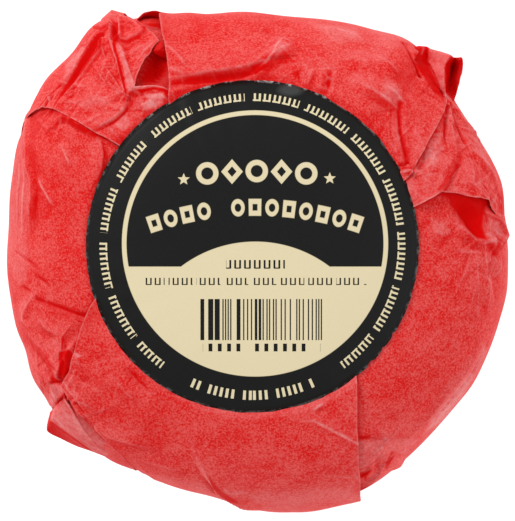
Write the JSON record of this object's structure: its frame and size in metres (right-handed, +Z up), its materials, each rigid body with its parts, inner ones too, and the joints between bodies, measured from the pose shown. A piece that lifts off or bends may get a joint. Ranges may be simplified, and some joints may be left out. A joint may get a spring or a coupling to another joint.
{
  "type": "paper-wrapped ball of cheese",
  "caption": "Flattened ball of cheese shut in red waxed paper that is folded up over the crown like a parcel, with a round label on top.",
  "frame": {"origin": "middle of the flat underside, on the surface that it lies on", "axes": "+Z up through the label; +Y towards the top of the label's print; +X to the print's right"},
  "size_m": [0.1076, 0.1072, 0.0687],
  "materials": {
    "red_paper": "thin waxed tissue paper, satin, creased",
    "label_print": "printed paper, satin"
  },
  "bodies": {
    "root": {"paper_wrap": "red_paper", "label": "label_print"}
  },
  "joints": []
}
